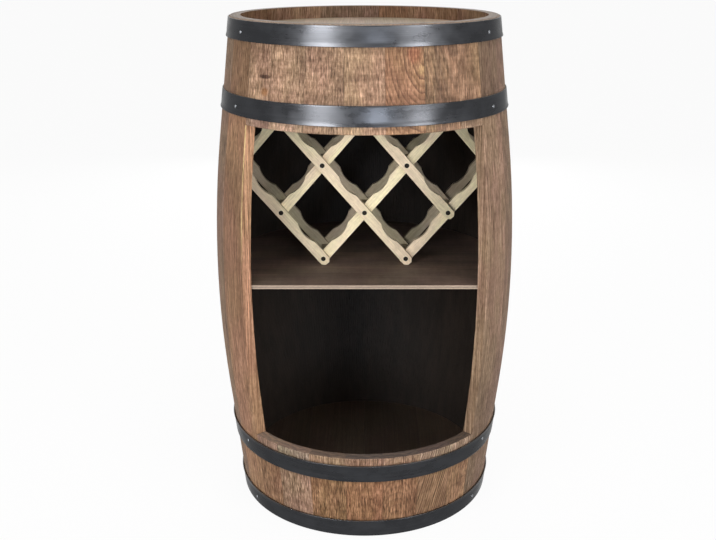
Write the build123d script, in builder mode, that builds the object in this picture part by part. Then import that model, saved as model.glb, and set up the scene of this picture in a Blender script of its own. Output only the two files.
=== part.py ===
from build123d import *
from math import atan, atan2, cos, degrees, hypot, radians, sin, sqrt, tan
import os

# Barrel bar cabinet, in millimetres and degrees. A coopered barrel stands on the XY plane
# with its axis on Z, and its open front faces -Y. Bearings are counted round Z from the
# front and grow towards +X.

os.makedirs("parts", exist_ok=True)

# Barrel shell
barrel_height = 800.0
end_diameter = 420.2
bilge_diameter = 488.6
bend_reach = 102.6  # from mid height to where a straight end's line meets the bilge's line
stave_thickness = 17.0
back_stave_count = 17
front_stave_angle = 15.0
full_front_staves = 5  # a narrower stave fills the front on each side of these
rim_chamfer = 1.5

# Open front
opening_angle = 100.0
sill_height = 12.4  # stave left between the lower hoop and the opening
header_height = 11.5  # stave left between the upper hoop and the opening
opening_chamfer = 1.5
jamb_planing = 0.1  # degrees planed off each jamb after the opening is sawn

# Hoops
hoop_width = 29.0
hoop_thickness = 2.0
end_hoop_setback = 1.5  # from the barrel's end to the hoop's nearer edge
upper_hoop_setback = 109.5
lower_hoop_setback = 104.6
lap_length = 46.0
crank_length = 9.0  # ramp where the hoop's outer end climbs onto its inner end
crank_tip = 0.1  # steel left at the ramp's thin end

# Heads
head_recess = 20.0
head_thickness = 18.0
head_board_count = 4
head_tongue = 6.0  # thickness of the head's edge in its groove, flush with the inner face
croze_depth = 5.0
head_fit = 0.3
board_tongue_width = 6.0
board_tongue_length = 6.0
board_fit = 0.2
board_chamfer = 0.6

# Shelf
shelf_top = 400.0
shelf_thickness = 6.0
shelf_setback = 3.0  # from the jambs' inner edges back to the shelf's front edge
shelf_fit = 0.3
cleat_width = 18.0
cleat_height = 20.0
cleat_length = 70.0
cleat_staves = (1, 8, 15)  # whole staves that carry a cleat, counted from the right jamb

# Bottle rack: two scissor lattices of crossed slats, held apart by square rods at the crossings
rack_depth = 84.0
slat_width = 17.0
slat_thickness = 8.0
slat_overhang = 10.5  # from the last crossing to the slat's end
slat_end_chamfer = 5.0
column_pitch = 67.45
row_pitch = 77.9
scallop_radius = 40.0
scallop_depth = 5.4
rod_width = 10.0
rack_columns = 3  # of crossings on each side of the middle, in the widest row
widest_row = 2  # counted from the lowest row, which is row 0
rack_fit = 1.0  # least gap to the staves and the top head

# Choosing edges and corners by their place
near = 0.01  # edges and corners this close to a place count as being there
short_edge = 5 * opening_chamfer  # edges up to this long are the ends of other chamfers

# Shell geometry: a straight cone at each end and a tangent arc between them
mid_height = barrel_height / 2
end_radius = end_diameter / 2
bilge_radius = bilge_diameter / 2
end_slope = (bilge_radius - end_radius) / (mid_height - bend_reach)
end_lean = atan(end_slope)
bend_radius = bend_reach / tan(end_lean / 2)
bend_height = bend_reach * (1 + cos(end_lean))
bend_end_radius = bilge_radius - bend_reach * sin(end_lean)

# Places that follow from the hoops, the opening and the heads
hoop_bases = {
    "hoop_top": barrel_height - end_hoop_setback - hoop_width,
    "hoop_upper": barrel_height - upper_hoop_setback - hoop_width,
    "hoop_lower": lower_hoop_setback,
    "hoop_bottom": end_hoop_setback,
}
opening_base = hoop_bases["hoop_lower"] + hoop_width + sill_height
opening_top = hoop_bases["hoop_upper"] - header_height
jamb_bearing = opening_angle / 2
seam_bearing = jamb_bearing - jamb_planing
back_stave_angle = (360 - 2 * seam_bearing) / back_stave_count
head_bases = {"bottom": head_recess, "top": barrel_height - head_recess - head_thickness}
shelf_base = shelf_top - shelf_thickness
cleat_base = shelf_base - cleat_height

# Rack geometry
slat_lean = atan2(row_pitch, column_pitch)
span_length = hypot(row_pitch, column_pitch)
end_corners = (
    (slat_overhang, slat_width / 2 - slat_end_chamfer),
    (slat_overhang - slat_end_chamfer, slat_width / 2),
)
end_drop = max(along * sin(slat_lean) + across * cos(slat_lean) for along, across in end_corners)
end_reach = max(along * cos(slat_lean) + across * sin(slat_lean) for along, across in end_corners)
first_row = shelf_top + end_drop
scallop_centre = slat_width / 2 - scallop_depth + scallop_radius
rack_front = -rack_depth / 2
rack_back = rack_depth / 2 - 2 * slat_thickness


def outer_radius(z):
    """Radius over the staves at a height."""
    rise = abs(z - mid_height)
    if rise > bend_height:
        return end_radius + (mid_height - rise) * end_slope
    return bilge_radius - bend_radius + sqrt(bend_radius**2 - rise**2)


def outer_slope(z):
    """Growth of the outer radius per unit of height."""
    rise = z - mid_height
    if abs(rise) > bend_height:
        return -end_slope if rise > 0 else end_slope
    return -rise / sqrt(bend_radius**2 - rise**2)


def inner_radius(z):
    """Radius of the bare inner wall at a height."""
    return outer_radius(z) - stave_thickness


def stave_bearing(number):
    """Bearing of the middle of a whole stave, counted from the right jamb."""
    return seam_bearing + (number + 0.5) * back_stave_angle


def bearing_plane(bearing):
    """Upright plane through the axis: local x points out at the bearing, local y up."""
    turn = radians(bearing)
    return Plane(origin=(0, 0, 0), x_dir=(sin(turn), -cos(turn), 0), z_dir=(-cos(turn), -sin(turn), 0))


def finish(piece, name):
    """Labels a piece and writes it to its own file."""
    piece.part.label = name
    export_step(piece.part, f"parts/{name}.step")


def shell_line(inset):
    """Draws the shell's line from foot to head, moved in by inset, and returns its ends."""
    foot = (end_radius - inset, 0)
    low = (bend_end_radius - inset, mid_height - bend_height)
    middle = (bilge_radius - inset, mid_height)
    high = (bend_end_radius - inset, mid_height + bend_height)
    head = (end_radius - inset, barrel_height)
    Line(foot, low)
    ThreePointArc(low, middle, high)
    Line(high, head)
    return foot, head


def outer_edges(piece, bearing, low, high):
    """Long edges of a stave's outside on one side plane, between two heights."""
    turn = radians(bearing)

    def on_side(edge):
        spot = edge @ 0.5
        on_outside = abs(hypot(spot.X, spot.Y) - outer_radius(spot.Z)) < near
        on_plane = abs(spot.X * cos(turn) + spot.Y * sin(turn)) < near
        return on_outside and on_plane and edge.length > short_edge and low < spot.Z < high

    return piece.edges().filter_by(on_side)


def stave(start, width, low, high, jamb=None):
    """A stave over a range of bearings and heights, planed at its jamb if it has one."""
    with BuildPart() as piece:
        with BuildSketch(bearing_plane(start)) as section:
            with BuildLine():
                outer_foot, outer_head = shell_line(0)
                inner_foot, inner_head = shell_line(stave_thickness)
                Line(outer_foot, inner_foot)
                Line(outer_head, inner_head)
            make_face()
            for base in head_bases.values():
                croze = tongue_base(base) + head_tongue / 2
                with Locations((inner_radius(croze), croze)):
                    Rectangle(2 * croze_depth, head_tongue, mode=Mode.SUBTRACT)
            with Locations((bilge_radius, (low + high) / 2)):
                Rectangle(2 * bilge_radius, high - low, mode=Mode.INTERSECT)
            for end in (low, high):
                corners = section.vertices().filter_by_position(Axis.Y, end - near, end + near)
                size = rim_chamfer if end in (0, barrel_height) else opening_chamfer
                chamfer(corners.sort_by(Axis.X)[-1:], size)
        revolve(axis=Axis.Z, revolution_arc=width)
        if jamb is not None:
            with BuildSketch(bearing_plane(-jamb_bearing)):
                with Locations((bilge_radius, (opening_base + opening_top) / 2)):
                    Rectangle(bilge_radius, opening_top - opening_base)
            revolve(axis=Axis.Z, revolution_arc=opening_angle, mode=Mode.SUBTRACT)
            chamfer(outer_edges(piece, jamb, opening_base, opening_top), opening_chamfer)
    return piece


def whole_stave(number):
    """A stave from foot to head; the first and last are the jambs of the opening."""
    jambs = {0: jamb_bearing, back_stave_count - 1: -jamb_bearing}
    start = seam_bearing + number * back_stave_angle
    return stave(start, back_stave_angle, 0, barrel_height, jambs.get(number))


def hoop_corners(base, lift):
    """Corners of a hoop's cross-section on the line that touches the shell at its middle."""
    middle = base + hoop_width / 2
    top = base + hoop_width

    def corner(z, out):
        return (outer_radius(middle) + (z - middle) * outer_slope(middle) + lift + out, z)

    return corner(base, 0), corner(base, hoop_thickness), corner(top, hoop_thickness), corner(top, 0)


def hoop(base):
    """A conical steel band whose ends lap at the back, the outer end cranked over the inner."""
    lap = degrees(lap_length / outer_radius(base))
    with BuildPart() as band:
        with BuildSketch(bearing_plane(180 - lap / 2)):
            with BuildLine():
                Polyline(*hoop_corners(base, 0), close=True)
            make_face()
        revolve(axis=Axis.Z)
        with BuildSketch(bearing_plane(180 - lap / 2)):
            with BuildLine():
                Polyline(*hoop_corners(base, hoop_thickness), close=True)
            make_face()
        revolve(axis=Axis.Z, revolution_arc=lap)
        lap_face = band.faces().sort_by(Axis.Y)[-1]
        crank = lap_face.edges().sort_by(Axis.X)[-1]
        chamfer(crank, crank_length, hoop_thickness - crank_tip, reference=lap_face)
    return band


def tongue_base(base):
    """Foot of a head's tongue, which lies flush with the head's inner face."""
    return base if base > mid_height else base + head_thickness - head_tongue


def head_board(base, number):
    """One board of a round head, tongued into its neighbours and into the staves' groove."""
    tongue = tongue_base(base)
    rim_face = base if base < mid_height else base + head_thickness
    body_radius = inner_radius(rim_face) - head_fit
    tongue_radius = inner_radius(tongue + head_tongue / 2) + croze_depth - head_fit
    board_width = 2 * tongue_radius / head_board_count
    left = -tongue_radius + number * board_width
    middle = base + head_thickness / 2
    joints = [left] if number > 0 else []
    if number < head_board_count - 1:
        joints.append(left + board_width)

    def at_joint(corner):
        return any(abs(corner.X - joint) < near for joint in joints)

    with BuildPart() as board:
        with BuildSketch(Plane.XY.offset(base)):
            Circle(body_radius)
        extrude(amount=head_thickness)
        with BuildSketch(Plane.XY.offset(tongue)):
            Circle(tongue_radius)
        extrude(amount=head_tongue)
        with BuildSketch(Plane.XZ) as section:
            with Locations((left + board_width / 2, middle)):
                Rectangle(board_width, head_thickness)
            chamfer(section.vertices().filter_by(at_joint), board_chamfer)
            if number > 0:
                with Locations((left, middle)):
                    Rectangle(2 * board_tongue_length, board_tongue_width, mode=Mode.SUBTRACT)
            if number < head_board_count - 1:
                with Locations((left + board_width, middle)):
                    Rectangle(2 * (board_tongue_length - board_fit), board_tongue_width - board_fit)
        extrude(amount=tongue_radius, both=True, mode=Mode.INTERSECT)
    return board


def crossing(column, row):
    """Place of a lattice crossing along X and Z."""
    return (column * column_pitch, first_row + row * row_pitch)


def has_room(column, row):
    """Whether the slat ends round a crossing stay clear of the staves and the top head."""
    x, z = crossing(column, row)
    corner_radius = hypot(abs(x) + end_reach, rack_depth / 2) + rack_fit
    in_walls = all(corner_radius < inner_radius(z + step) for step in (-end_drop, end_drop))
    return in_walls and z + end_drop + rack_fit < head_bases["top"]


def rack_crossings():
    """Columns and rows of the lattice's crossings, which fill a hexagon where there is room."""
    spots = []
    for row in range(2 * widest_row + 1):
        reach = rack_columns - abs(row - widest_row)
        spots += [(column, row) for column in range(-reach, reach + 1, 2) if has_room(column, row)]
    return spots


def slat_runs(lean):
    """First crossing and number of spans of each slat that falls (-1) or rises (1) to the right."""
    runs = {}
    for column, row in sorted(rack_crossings()):
        runs.setdefault(column - lean * row, []).append((column, row))
    return [(run[0], len(run) - 1) for line, run in sorted(runs.items())]


def rack_slat(start, spans, lean, front):
    """A slat from its left-hand crossing over a number of spans, scalloped on its upper edge."""
    x, z = crossing(*start)
    along = (cos(slat_lean), 0, lean * sin(slat_lean))
    slat_plane = Plane(origin=(x, front + slat_thickness, z), x_dir=along, z_dir=(0, -1, 0))
    with BuildPart() as piece:
        with BuildSketch(slat_plane) as outline:
            with Locations((spans * span_length / 2, 0)):
                Rectangle(spans * span_length + 2 * slat_overhang, slat_width)
            chamfer(outline.vertices(), slat_end_chamfer)
            with Locations(*[((span + 0.5) * span_length, scallop_centre) for span in range(spans)]):
                Circle(scallop_radius, mode=Mode.SUBTRACT)
        extrude(amount=slat_thickness)
    return piece


def slat_layer(lean, front):
    """All slats of one layer of a lattice."""
    return [rack_slat(start, spans, lean, front) for start, spans in slat_runs(lean)]


def joined(pieces):
    """Separate solids gathered into one node."""
    with BuildPart() as group:
        for piece in pieces:
            add(piece.part)
    return group


# Staves: short ones above and below the opening, whole ones round the back
first_seam = -full_front_staves / 2 * front_stave_angle
front_seams = [first_seam + number * front_stave_angle for number in range(full_front_staves + 1)]
front_seams = [-seam_bearing, *front_seams, seam_bearing]
for number, (start, end) in enumerate(zip(front_seams, front_seams[1:]), 1):
    finish(stave(start, end - start, opening_top, barrel_height), f"upper_stave_{number}")
    finish(stave(start, end - start, 0, opening_base), f"lower_stave_{number}")
for number in range(back_stave_count):
    finish(whole_stave(number), f"stave_{number + 1:02d}")

# Hoops
for name, base in hoop_bases.items():
    finish(hoop(base), name)

# Heads
for end, base in head_bases.items():
    for number in range(head_board_count):
        finish(head_board(base, number), f"{end}_head_board_{number + 1}")

# Shelf, resting on cleats fixed to the staves
with BuildPart() as shelf:
    with BuildSketch(Plane.XY.offset(shelf_base)):
        Circle(min(inner_radius(shelf_base), inner_radius(shelf_top)) - shelf_fit)
        front_edge = -inner_radius(shelf_top) * cos(radians(jamb_bearing)) + shelf_setback
        with Locations((0, front_edge)):
            Rectangle(bilge_diameter, bilge_diameter, align=(Align.CENTER, Align.MAX), mode=Mode.SUBTRACT)
    extrude(amount=shelf_thickness)
finish(shelf, "shelf")

with BuildPart() as shelf_cleats:
    cleat_radius = min(inner_radius(cleat_base), inner_radius(shelf_base)) - shelf_fit
    cleat_angle = degrees(cleat_length / cleat_radius)
    for number in cleat_staves:
        with BuildSketch(bearing_plane(stave_bearing(number) - cleat_angle / 2)):
            with Locations((cleat_radius, shelf_base)):
                Rectangle(cleat_width, cleat_height, align=(Align.MAX, Align.MAX))
        revolve(axis=Axis.Z, revolution_arc=cleat_angle)
finish(shelf_cleats, "shelf_cleats")

# Bottle rack
for number, piece in enumerate(slat_layer(-1, rack_front), 1):
    finish(piece, f"rack_falling_slat_{number}")
for number, piece in enumerate(slat_layer(1, rack_front + slat_thickness), 1):
    finish(piece, f"rack_rising_slat_{number}")
finish(joined(slat_layer(-1, rack_back)), "rack_back_falling_slats")
finish(joined(slat_layer(1, rack_back + slat_thickness)), "rack_back_rising_slats")

with BuildPart() as rack_rods:
    with BuildSketch(Plane.XZ.offset(-rack_back)):
        with Locations(*[crossing(column, row) for column, row in rack_crossings()]):
            Rectangle(rod_width, rod_width)
    extrude(amount=rack_depth - 4 * slat_thickness)
finish(rack_rods, "rack_rods")
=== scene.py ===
from math import atan2, cos, hypot, pi, radians, sin

import bmesh
import bpy
from mathutils import Matrix, Vector


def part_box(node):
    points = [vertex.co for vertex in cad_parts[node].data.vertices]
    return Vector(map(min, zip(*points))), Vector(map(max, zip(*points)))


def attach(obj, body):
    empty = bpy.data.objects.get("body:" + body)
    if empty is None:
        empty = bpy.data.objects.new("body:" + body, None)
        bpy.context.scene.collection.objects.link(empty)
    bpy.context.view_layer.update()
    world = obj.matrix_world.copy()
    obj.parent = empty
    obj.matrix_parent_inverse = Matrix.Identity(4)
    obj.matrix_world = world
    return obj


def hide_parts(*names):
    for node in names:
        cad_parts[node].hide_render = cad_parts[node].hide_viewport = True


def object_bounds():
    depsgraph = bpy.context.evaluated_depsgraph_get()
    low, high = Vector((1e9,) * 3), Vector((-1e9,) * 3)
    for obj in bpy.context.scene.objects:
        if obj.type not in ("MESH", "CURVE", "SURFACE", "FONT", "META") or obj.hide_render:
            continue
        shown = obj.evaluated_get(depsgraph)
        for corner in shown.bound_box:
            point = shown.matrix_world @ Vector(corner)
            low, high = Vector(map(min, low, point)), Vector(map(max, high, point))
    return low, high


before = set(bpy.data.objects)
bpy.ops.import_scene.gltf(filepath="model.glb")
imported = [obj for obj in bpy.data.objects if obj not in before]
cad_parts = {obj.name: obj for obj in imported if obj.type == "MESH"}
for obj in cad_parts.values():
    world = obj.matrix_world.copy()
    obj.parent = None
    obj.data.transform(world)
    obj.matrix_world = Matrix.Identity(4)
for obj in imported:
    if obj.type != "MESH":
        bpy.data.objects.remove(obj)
cad_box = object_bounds()

# Camera
IMAGE_WIDTH = 716
IMAGE_HEIGHT = 540
FOCAL_PX = 986.4
AXIS_PX = (364.5, 240.0)  # where the camera's axis meets the picture
SENSOR = 36.0
CAMERA_PLACE = (0, -1.5795, 0.9085)
CAMERA_PITCH = 16.86  # degrees below the horizon

# Fasteners: bearings are in degrees from the front, and a nail's rise is above its hoop's middle
NAIL_BEARINGS = {
    "hoop_top": (-57.6, 58.2),
    "hoop_upper": (-57.6, 57.6),
    "hoop_lower": (-57.6, 59.3),
    "hoop_bottom": (-57.6, 58.2),
}
NAIL_RISES = {"hoop_top": -0.0025, "hoop_upper": -0.0022, "hoop_lower": 0.0033, "hoop_bottom": -0.0028}
NAIL_RADIUS = 0.0028
NAIL_HEIGHT = 0.0014
RIVET_RADIUS = 0.0045
RIVET_HEIGHT = 0.0026
RIVET_PITCH = 0.022
PIN_RADIUS = 0.0039
PIN_HEIGHT = 0.0010
SCREW_RADIUS = 0.0035
SCREW_HEIGHT = 0.0009
SCREW_PITCH = 0.038
SCREWED_STAVES = ("stave_02", "stave_09", "stave_16")
HEAD_SEAT = 0.0006  # how deep a fastener's head is sunk in what it holds
HEAD_STEPS = 24  # faces round a head
DOME_STEPS = 6  # faces from a head's edge to its top

# Hoop bands
HOOPS = ("hoop_bottom", "hoop_lower", "hoop_upper", "hoop_top")
BAND_THICKNESS = 0.002
BAND_EDGE = 0.0007  # radius of the band's rounded edges
BAND_EDGE_STEPS = 4
BAND_FLAT_STEPS = 14
BAND_CROWN = 0.00015  # how far the band's outside bulges at mid width
BAND_FLARE = 0.0011  # how far the edge nearer the bilge is rolled out
BAND_FLARE_REACH = 0.0070
BAND_STEPS = 240
LAP_LENGTH = 0.046
CRANK_LENGTH = 0.012
SAME_PLACE = 1e-5  # points nearer than this are one

# Studio
WORLD_LIGHT = 0.35
FLOOR_HALF = 60.0
FLOOR_COLOUR = (0.82, 0.82, 0.82)
FLOOR_GLOW = 0.94  # share of plain white in what the camera sees of the floor
AIM_HEIGHT = 0.45  # the place on the barrel's axis that every lamp faces

# Name, bearing, elevation, distance, width and height, power
LAMPS = (
    ("key_left", -36, 11, 2.6, (1.2, 1.1), 30),
    ("key_right", 42, 10, 2.6, (1.2, 1.1), 27),
    ("top", 10, 75, 2.6, (1.4, 1.4), 28),
    ("back", 180, 10, 2.6, (1.4, 1.2), 30),
)
CARDS = (
    ("strip_left", -33.5, 7, 2.6, (0.85, 0.9), 28),
    ("strip_middle", 9.5, 0, 2.9, (0.45, 0.7), 44),
    ("strip_right", 42.5, -1, 2.6, (0.70, 0.7), 35),
    ("low_left", -25, -4, 2.6, (0.35, 0.35), 13),
    ("low_right", 35, -4, 2.6, (0.4, 0.35), 15),
    ("high_left", -33, 29, 2.6, (0.8, 1.1), 96),
    ("high_right", 42.5, 29, 2.6, (0.75, 1.1), 56),
)
CARD_COLOURS = {"strip_middle": (0.93, 1.0, 1.1)}  # the other cards are white

# Light and dark tone of each wood, in linear light
STAVE_COLOURS = {
    "tan": ((0.47, 0.30, 0.185), (0.155, 0.088, 0.052)),
    "brown": ((0.40, 0.243, 0.150), (0.125, 0.070, 0.043)),
    "grey": ((0.33, 0.208, 0.135), (0.110, 0.066, 0.045)),
    "red": ((0.40, 0.205, 0.115), (0.150, 0.066, 0.036)),
    "warm": ((0.34, 0.185, 0.098), (0.110, 0.054, 0.028)),
    "rust": ((0.33, 0.165, 0.080), (0.120, 0.050, 0.024)),
    "side": ((0.36, 0.205, 0.122), (0.135, 0.072, 0.042)),
}
# The heads' oak is made paler and greyer with painted sheen
HEAD_COLOURS = ((0.43, 0.335, 0.245), (0.29, 0.220, 0.158))
RACK_COLOURS = ((0.85, 0.73, 0.51), (0.74, 0.62, 0.42))
SHELF_COLOURS = ((0.205, 0.140, 0.108), (0.105, 0.070, 0.053))
CLEAT_COLOURS = ((0.22, 0.15, 0.10), (0.12, 0.08, 0.055))
CHAR_COLOURS = ((0.010, 0.008, 0.007), (0.042, 0.030, 0.023))
CUT_COLOURS = ((0.052, 0.044, 0.042), (0.118, 0.086, 0.066))  # sawn ends round the opening
RIM_COLOUR = (0.315, 0.270, 0.235)  # weathered grey ends on the barrel's rims, made paler and greyer with painted sheen
PLY_COLOUR = (0.425, 0.315, 0.230)
HEAD_STAIN = (0.26, 0.22, 0.20)  # tint of the heads' inner faces
# Lit and shaded copies of one pine: painted light on the rising slats, a little painted shade on the
# falling ones
FALLING_PAINTED_LIGHT = 0.96
RISING_PAINTED_LIGHT = 1.10
REAR_PAINTED_SHADE = 0.5  # painted shade on the rear lattice and the rods

# Steels
HOOP_STEEL = (0.0335, 0.0345, 0.0375)
EDGE_HIGHLIGHT_STEEL = (0.26, 0.25, 0.24)  # painted highlight on the hoops' upward-facing edges
SCUFF_STEEL = (0.10, 0.10, 0.10)
NAIL_STEEL = (0.150, 0.155, 0.165)
PIN_STEEL = (0.018, 0.014, 0.010)
SCREW_ZINC = (0.42, 0.40, 0.36)

# Where most of a noise's values lie
SPREAD = (0.3, 0.7)


class Graph:
    """A node tree, built from calls that take numbers or sockets and return sockets."""

    def __init__(self, tree):
        self.tree = tree
        self.made = 0

    def node(self, kind, **settings):
        made = self.tree.nodes.new(kind)
        made.location = (180 * (self.made // 6), -220 * (self.made % 6))
        self.made += 1
        for name, value in settings.items():
            setattr(made, name, value)
        return made

    def feed(self, socket, value):
        if isinstance(value, bpy.types.NodeSocket):
            self.tree.links.new(value, socket)
        elif value is not None:
            socket.default_value = value

    def math(self, operation, *values):
        made = self.node("ShaderNodeMath", operation=operation)
        for socket, value in zip(made.inputs, values):
            self.feed(socket, value)
        return made.outputs[0]

    def vector(self, operation, *values):
        made = self.node("ShaderNodeVectorMath", operation=operation)
        for socket, value in zip(made.inputs, values):
            self.feed(socket, value)
        return made.outputs["Value" if operation in ("DOT_PRODUCT", "LENGTH") else "Vector"]

    def combine(self, x, y, z):
        made = self.node("ShaderNodeCombineXYZ")
        for socket, value in zip(made.inputs, (x, y, z)):
            self.feed(socket, value)
        return made.outputs[0]

    def split(self, vector):
        made = self.node("ShaderNodeSeparateXYZ")
        self.feed(made.inputs[0], vector)
        return made.outputs

    def noise(self, vector, scale, detail=2.0, roughness=0.5):
        """Noise from about 0 to 1; scale is one number for each axis, in bumps per metre."""
        made = self.node("ShaderNodeTexNoise")
        self.feed(made.inputs["Vector"], self.vector("MULTIPLY", vector, scale))
        made.inputs["Scale"].default_value = 1.0
        made.inputs["Detail"].default_value = detail
        made.inputs["Roughness"].default_value = roughness
        return made.outputs["Fac"]

    def span(self, value, low, high, to_low=0.0, to_high=1.0, smooth=True):
        """Maps low..high to to_low..to_high, clamped."""
        kind = "SMOOTHSTEP" if smooth else "LINEAR"
        made = self.node("ShaderNodeMapRange", interpolation_type=kind)
        for socket, number in zip(made.inputs, (value, low, high, to_low, to_high)):
            self.feed(socket, number)
        return made.outputs[0]

    def mix(self, factor, first, second, blend="MIX"):
        made = self.node("ShaderNodeMix", data_type="RGBA", blend_type=blend)
        self.feed(made.inputs["Factor"], factor)
        for label, value in (("A", first), ("B", second)):
            socket = next(s for s in made.inputs if s.name == label and s.type == "RGBA")
            plain = isinstance(value, tuple) and len(value) == 3
            self.feed(socket, (*value, 1.0) if plain else value)
        return next(s for s in made.outputs if s.type == "RGBA")

    def multiply(self, colour, factors):
        """Multiplies a colour by another, channel by channel."""
        return self.mix(1.0, colour, factors, "MULTIPLY")

    def scale(self, colour, value):
        """Multiplies a colour by one number."""
        made = self.node("ShaderNodeVectorMath", operation="SCALE")
        self.feed(made.inputs[0], colour)
        self.feed(made.inputs["Scale"], value)
        return made.outputs["Vector"]

    def curve(self, value, stops):
        """A grey ramp through (place, value) stops."""
        made = self.node("ShaderNodeValToRGB")
        ramp = made.color_ramp
        while len(ramp.elements) < len(stops):
            ramp.elements.new(0.5)
        for element, (place, level) in zip(ramp.elements, stops):
            element.position = place
            element.color = (level, level, level, 1.0)
        self.feed(made.inputs[0], value)
        return made.outputs["Color"]

    def object_place(self):
        """The point's place in the row's frame: every object here has its origin there."""
        return self.node("ShaderNodeTexCoord").outputs["Object"]

    def true_normal(self):
        return self.node("ShaderNodeNewGeometry").outputs["True Normal"]

    def seen(self):
        """One for what the camera sees, directly, in gloss or through glass, and zero for light."""
        path = self.node("ShaderNodeLightPath").outputs
        either = self.math("MAXIMUM", path["Is Camera Ray"], path["Is Transmission Ray"])
        return self.math("MAXIMUM", either, path["Is Glossy Ray"])


def new_material(name, roughness):
    """A material, its graph and its main shader."""
    material = bpy.data.materials.new(name)
    material.use_nodes = True
    graph = Graph(material.node_tree)
    shader = material.node_tree.nodes["Principled BSDF"]
    shader.inputs["Roughness"].default_value = roughness
    return material, graph, shader


def add_bump(graph, shader, height, distance):
    bump = graph.node("ShaderNodeBump")
    bump.inputs["Strength"].default_value = 1.0
    bump.inputs["Distance"].default_value = distance
    graph.feed(bump.inputs["Height"], height)
    graph.feed(shader.inputs["Normal"], bump.outputs["Normal"])


# The wood group's noises: bumps per metre across, deep and along the grain, detail, roughness
WOOD_NOISES = {
    "patches": ((26, 20, 11), 3, 0.55),
    "hues": ((20, 20, 9), 2, 0.5),
    "ripple": ((24, 24, 110), 3, 0.6),
    "flecks": ((420, 300, 130), 3, 0.6),
    "bands": ((110, 80, 2.2), 2, 0.5),
    "streaks": ((420, 300, 4), 2, 0.6),
    "fibres": ((720, 500, 9), 2, 0.6),
    "pores": ((1100, 800, 60), 1, 0.5),
    "sway": ((11, 8, 2.6), 2, 0.5),
    "ring strength": ((1, 1, 1), 1, 0.5),
}
WOOD_NUMBERS = (
    "Ring spacing", "Pith across", "Pith depth", "Eye height", "Eye rise", "Tilt", "Wander",
    "Contrast", "Mottle", "Fine", "Fleck", "Ripple", "Dash",
)
HUE_PLACE = (5.0, 3.0, 9.0)  # keeps the hues apart from the patches
HUE_TINTS = ((1.02, 0.96, 0.98), (1.00, 1.02, 0.95))
HUE_SPREAD = (0.38, 0.62)
PORE_SPREAD = (0.58, 0.70)
PORE_SHADE = -0.35
PORE_HEIGHT = -0.8
BAND_BEND = 0.6  # how far the bands push the rings, in ring spacings
FLECK_BEND = 0.15
LATE_WOOD = ((0.0, 0.0), (0.25, 0.05), (0.60, 0.60), (0.80, 1.0), (0.93, 0.7), (1.0, 0.0))
LATE_SHADE = 0.75
LATE_HEIGHT = -0.35
RING_STEP = 7.3  # places neighbouring rings apart in the noise of their strength
RING_DRIFT = 12.0  # how fast that strength changes along the grain
RING_SPREAD = (0.32, 0.62, 0.35, 1.0)
TONE_SWING = 0.12
LEVEL_FLOOR = 0.2
LEVEL_POWERS = (1.1, 1.22)  # green and blue fall faster than red where the wood is dark


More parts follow.
